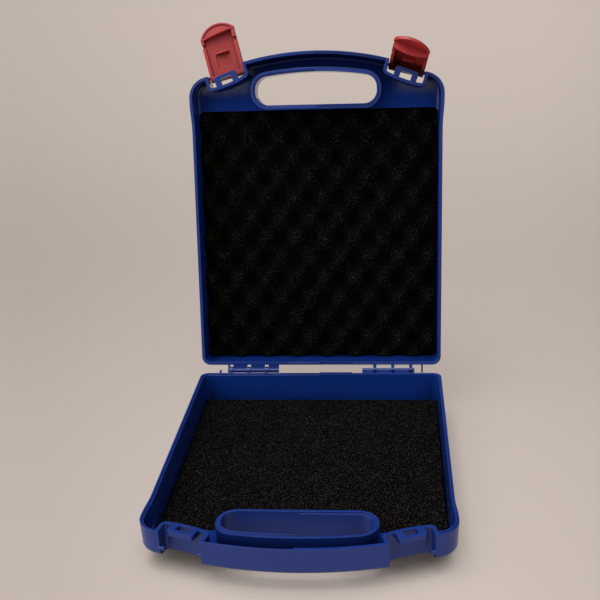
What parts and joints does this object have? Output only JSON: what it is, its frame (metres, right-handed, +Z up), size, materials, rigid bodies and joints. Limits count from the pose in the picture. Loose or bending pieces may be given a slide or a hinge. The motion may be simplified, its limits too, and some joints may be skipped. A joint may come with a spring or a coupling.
{
  "type": "dental instrument case",
  "caption": "Hinged plastic carry case with a finger-slot handle, two snap latches and foam pads in base and lid.",
  "frame": {"origin": "centre of the base tray's flat underside", "axes": "+X to the right, +Y from the handle towards the hinge, +Z up out of the base"},
  "size_m": [0.2478, 0.4178, 0.3697],
  "materials": {
    "blue_plastic": "semi-gloss",
    "red_plastic": "semi-gloss",
    "black_foam": "matt open-cell foam"
  },
  "bodies": {
    "base": {"base_shell": "blue_plastic", "base_foam": "black_foam"},
    "lid": {"lid_shell": "blue_plastic", "lid_foam": "black_foam"},
    "left_latch": {"left_latch": "red_plastic"},
    "right_latch": {"right_latch": "red_plastic"}
  },
  "joints": [
    {"name": "lid_hinge", "type": "hinge", "parent": "base", "child": "lid", "pos_m": [0, 0.13425, 0.038], "axis": [1, 0, 0], "range_deg": [0, 102.35]},
    {"name": "left_latch_pivot", "type": "hinge", "parent": "lid", "child": "left_latch", "pos_m": [-0.08734, 0.21268, 0.32329], "axis": [0.9659, 0.0554, 0.2528], "range_deg": [-20.1, 99.9]},
    {"name": "right_latch_pivot", "type": "hinge", "parent": "lid", "child": "right_latch", "pos_m": [0.08734, 0.21268, 0.32329], "axis": [0.9659, -0.0554, -0.2528], "range_deg": [-96.1, 23.9]}
  ]
}
